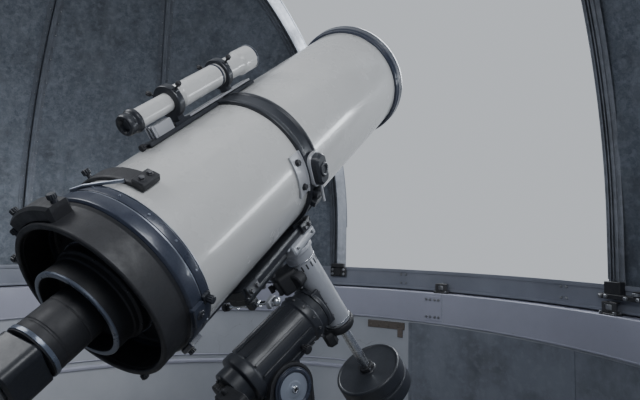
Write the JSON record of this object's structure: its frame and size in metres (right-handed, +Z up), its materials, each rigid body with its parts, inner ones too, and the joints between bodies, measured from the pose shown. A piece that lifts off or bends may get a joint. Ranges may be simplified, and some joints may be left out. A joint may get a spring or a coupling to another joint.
{
  "type": "observatory dome with its drum wall, telescope and pier",
  "caption": "Small observatory: masonry drum wall, track ring, rotating dome with an open slit, and a reflector telescope on an equatorial mount and pier.",
  "frame": {"origin": "on the ground at the dome's axis, in the underside of the floor slab", "axes": "+Z up along the dome's axis; -Y towards the open slit as drawn, with the door at +Y; +X to the right when looking along +Y"},
  "size_m": [5.248, 5.3695, 5.3863],
  "materials": {
    "plaster": "painted plaster on masonry, matt",
    "concrete": "trowelled concrete, matt",
    "galvanised_lining": "mottled galvanised sheet, dull",
    "pale_steel": "pale grey paint, satin",
    "black_casting": "black paint, satin",
    "cream_paint": "off-white gloss paint",
    "grey_casting": "grey paint, satin",
    "bright_steel": "turned steel, bright",
    "door_paint": "grey paint, matt",
    "mirror_glass": "aluminised glass"
  },
  "bodies": {
    "building": {"floor_slab": "concrete", "wall_front": "plaster", "wall_right": "plaster", "wall_left": "plaster", "wall_rear_right": "plaster", "wall_rear_left": "plaster", "wall_over_door": "plaster", "door_frame": "door_paint", "door_leaf": "door_paint", "track_ring_left": "pale_steel", "track_ring_right": "pale_steel", "pier": "black_casting", "pier_head": "black_casting", "altitude_pivot": "grey_casting", "polar_housing": "black_casting", "drive_box": "black_casting"},
    "dome": {"dome_base_left": "pale_steel", "dome_base_right": "pale_steel", "shell_side_left": "galvanised_lining", "shell_side_right": "galvanised_lining", "shell_flank_left": "galvanised_lining", "shell_flank_right": "galvanised_lining", "shell_quarter_left": "galvanised_lining", "shell_quarter_right": "galvanised_lining", "shell_rear": "galvanised_lining", "seam_rib_left_1": "galvanised_lining", "seam_rib_left_2": "galvanised_lining", "seam_rib_left_3": "galvanised_lining", "seam_rib_right_1": "galvanised_lining", "seam_rib_right_2": "galvanised_lining", "seam_rib_right_3": "galvanised_lining", "slit_girder_left": "galvanised_lining", "slit_girder_right": "galvanised_lining", "slit_head_beam": "galvanised_lining", "shutter_rail_left": "galvanised_lining", "shutter_rail_right": "galvanised_lining", "upper_shutter": "galvanised_lining", "lower_shutter": "galvanised_lining"},
    "mount_head": {"polar_head": "black_casting", "declination_housing": "grey_casting"},
    "telescope": {"tube_wall_lower": "cream_paint", "tube_wall_upper": "cream_paint", "front_ring": "black_casting", "rear_cell": "black_casting", "back_plate": "black_casting", "primary_mirror": "mirror_glass", "focuser_body": "black_casting", "cradle_ring": "black_casting", "ring_latch": "bright_steel", "saddle": "black_casting", "tangent_screw": "bright_steel", "counterweight_shaft": "bright_steel", "counterweight": "black_casting", "rear_strap": "black_casting", "finder_tube": "cream_paint", "finder_mount": "black_casting", "secondary_spider": "black_casting"},
    "focuser_slide": {"draw_tube": "black_casting", "mirror_diagonal": "black_casting", "eyepiece": "black_casting"}
  },
  "joints": [
    {"name": "dome_rotation", "type": "hinge", "parent": "building", "child": "dome", "pos_m": [0, 0, 2.31], "axis": [0, 0, 1], "continuous": true},
    {"name": "polar_axis", "type": "hinge", "parent": "building", "child": "mount_head", "pos_m": [-0.5952, -0.3237, 2.4903], "axis": [-0.1198, -0.7868, 0.6054], "range_deg": [-90, 90]},
    {"name": "declination_axis", "type": "hinge", "parent": "mount_head", "child": "telescope", "pos_m": [-0.5952, -0.3237, 2.4903], "axis": [0.0912, 0.5985, 0.7959], "range_deg": [-136.6, 103.4]},
    {"name": "focus_slide", "type": "slide", "parent": "telescope", "child": "focuser_slide", "axis": [-0.1679, 0.797, -0.5801], "range_m": [0, 0.05]}
  ]
}
